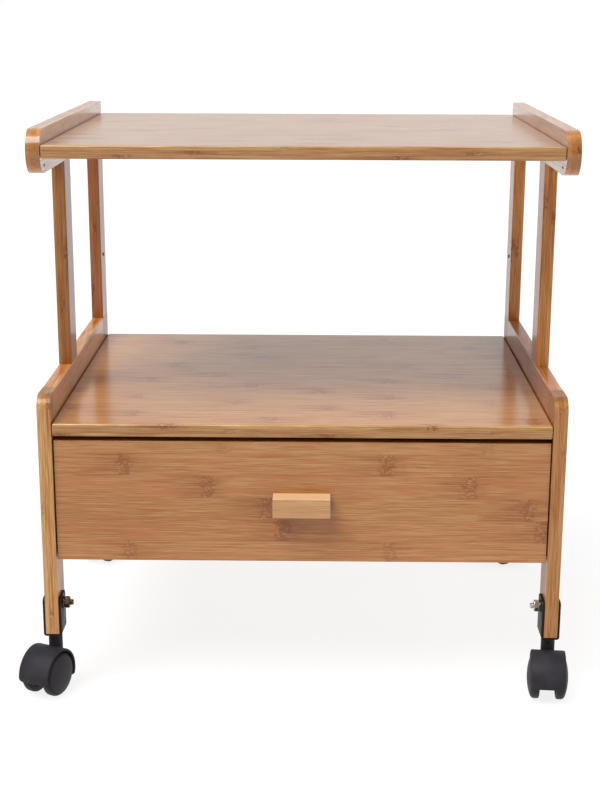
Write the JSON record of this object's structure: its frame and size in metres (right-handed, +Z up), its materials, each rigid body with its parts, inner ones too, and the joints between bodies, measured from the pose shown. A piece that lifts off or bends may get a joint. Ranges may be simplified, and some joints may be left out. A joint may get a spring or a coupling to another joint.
{
  "type": "rolling utility cart",
  "caption": "Two-tier bamboo rolling cart: open top shelf with low side rails on four posts, lower shelf over a pull-out drawer, legs on twin-wheel swivel casters.",
  "frame": {"origin": "on the floor, at the middle of the footprint of the whole cart, casters included", "axes": "+X to the cart's right seen from the drawer side, +Y from the drawer to the back, +Z up"},
  "size_m": [0.5514, 0.4266, 0.5495],
  "materials": {
    "bamboo_frame": "lacquered bamboo laminate, caramel, satin gloss",
    "bamboo_panel": "lacquered bamboo laminate, caramel, glossy, grain across the cart",
    "bamboo_pull": "lacquered bamboo, a little lighter, satin",
    "drawer_box": "bamboo and plywood, plain sealed",
    "bracket_steel": "black powder coat, semi-matte",
    "pin_steel": "black oxide steel, oiled",
    "zinc_fastener": "yellow zinc plate, bright",
    "caster_plastic": "black moulded nylon, matte",
    "wheel_plastic": "black moulded nylon, matte"
  },
  "bodies": {
    "cart_frame": {"top_shelf": "bamboo_panel", "guard_rail_left": "bamboo_frame", "guard_rail_right": "bamboo_frame", "post_front_left": "bamboo_frame", "post_rear_left": "bamboo_frame", "post_front_right": "bamboo_frame", "post_rear_right": "bamboo_frame", "lower_shelf": "bamboo_panel", "back_panel": "bamboo_frame", "leg_front_left": "bamboo_frame", "leg_rear_left": "bamboo_frame", "leg_front_right": "bamboo_frame", "leg_rear_right": "bamboo_frame", "side_panel_left": "bamboo_frame", "side_panel_right": "bamboo_frame", "drawer_runner_left": "drawer_box", "drawer_runner_right": "drawer_box", "caster_bracket_front_left": "bracket_steel", "caster_stem_front_left": "pin_steel", "caster_bolt_front_left": "zinc_fastener", "caster_nut_front_left": "zinc_fastener", "caster_bracket_front_right": "bracket_steel", "caster_stem_front_right": "pin_steel", "caster_bolt_front_right": "zinc_fastener", "caster_nut_front_right": "zinc_fastener", "caster_bracket_rear_left": "bracket_steel", "caster_stem_rear_left": "pin_steel", "caster_bolt_rear_left": "zinc_fastener", "caster_nut_rear_left": "zinc_fastener", "caster_bracket_rear_right": "bracket_steel", "caster_stem_rear_right": "pin_steel", "caster_bolt_rear_right": "zinc_fastener", "caster_nut_rear_right": "zinc_fastener"},
    "drawer": {"drawer_front": "bamboo_panel", "drawer_pull": "bamboo_pull", "pull_screw_left": "zinc_fastener", "pull_screw_right": "zinc_fastener", "drawer_side_left": "drawer_box", "drawer_side_right": "drawer_box", "drawer_back": "drawer_box", "drawer_bottom": "drawer_box"},
    "caster_front_left": {"caster_hood_front_left": "caster_plastic", "caster_axle_front_left": "pin_steel"},
    "wheel_front_left_left": {"wheel_front_left_left": "wheel_plastic"},
    "wheel_front_left_right": {"wheel_front_left_right": "wheel_plastic"},
    "caster_front_right": {"caster_hood_front_right": "caster_plastic", "caster_axle_front_right": "pin_steel"},
    "wheel_front_right_left": {"wheel_front_right_left": "wheel_plastic"},
    "wheel_front_right_right": {"wheel_front_right_right": "wheel_plastic"},
    "caster_rear_left": {"caster_hood_rear_left": "caster_plastic", "caster_axle_rear_left": "pin_steel"},
    "wheel_rear_left_left": {"wheel_rear_left_left": "wheel_plastic"},
    "wheel_rear_left_right": {"wheel_rear_left_right": "wheel_plastic"},
    "caster_rear_right": {"caster_hood_rear_right": "caster_plastic", "caster_axle_rear_right": "pin_steel"},
    "wheel_rear_right_left": {"wheel_rear_right_left": "wheel_plastic"},
    "wheel_rear_right_right": {"wheel_rear_right_right": "wheel_plastic"}
  },
  "joints": [
    {"name": "drawer_slide", "type": "slide", "parent": "cart_frame", "child": "drawer", "axis": [0, -1, 0], "range_m": [0, 0.28]},
    {"name": "swivel_front_left", "type": "hinge", "parent": "cart_frame", "child": "caster_front_left", "pos_m": [-0.2435, -0.16819, 0.0575], "axis": [0, 0, 1], "continuous": true},
    {"name": "roll_front_left_left", "type": "hinge", "parent": "caster_front_left", "child": "wheel_front_left_left", "pos_m": [-0.25025, -0.18335, 0.0218], "axis": [0.9135, -0.4067, 0], "continuous": true},
    {"name": "roll_front_left_right", "type": "hinge", "parent": "caster_front_left", "child": "wheel_front_left_right", "pos_m": [-0.25025, -0.18335, 0.0218], "axis": [0.9135, -0.4067, 0], "continuous": true},
    {"name": "swivel_front_right", "type": "hinge", "parent": "cart_frame", "child": "caster_front_right", "pos_m": [0.2435, -0.16819, 0.0575], "axis": [0, 0, 1], "continuous": true},
    {"name": "roll_front_right_left", "type": "hinge", "parent": "caster_front_right", "child": "wheel_front_right_left", "pos_m": [0.24205, -0.18472, 0.0218], "axis": [0.9962, -0.0872, 0], "continuous": true},
    {"name": "roll_front_right_right", "type": "hinge", "parent": "caster_front_right", "child": "wheel_front_right_right", "pos_m": [0.24205, -0.18472, 0.0218], "axis": [0.9962, -0.0872, 0], "continuous": true},
    {"name": "swivel_rear_left", "type": "hinge", "parent": "cart_frame", "child": "caster_rear_left", "pos_m": [-0.2435, 0.19531, 0.0575], "axis": [0, 0, 1], "continuous": true},
    {"name": "roll_rear_left_left", "type": "hinge", "parent": "caster_rear_left", "child": "wheel_rear_left_left", "pos_m": [-0.24863, 0.17952, 0.0218], "axis": [0.9511, -0.309, 0], "continuous": true},
    {"name": "roll_rear_left_right", "type": "hinge", "parent": "caster_rear_left", "child": "wheel_rear_left_right", "pos_m": [-0.24863, 0.17952, 0.0218], "axis": [0.9511, -0.309, 0], "continuous": true},
    {"name": "swivel_rear_right", "type": "hinge", "parent": "cart_frame", "child": "caster_rear_right", "pos_m": [0.2435, 0.19531, 0.0575], "axis": [0, 0, 1], "continuous": true},
    {"name": "roll_rear_right_left", "type": "hinge", "parent": "caster_rear_right", "child": "wheel_rear_right_left", "pos_m": [0.25025, 0.18015, 0.0218], "axis": [0.9135, 0.4067, 0], "continuous": true},
    {"name": "roll_rear_right_right", "type": "hinge", "parent": "caster_rear_right", "child": "wheel_rear_right_right", "pos_m": [0.25025, 0.18015, 0.0218], "axis": [0.9135, 0.4067, 0], "continuous": true}
  ]
}
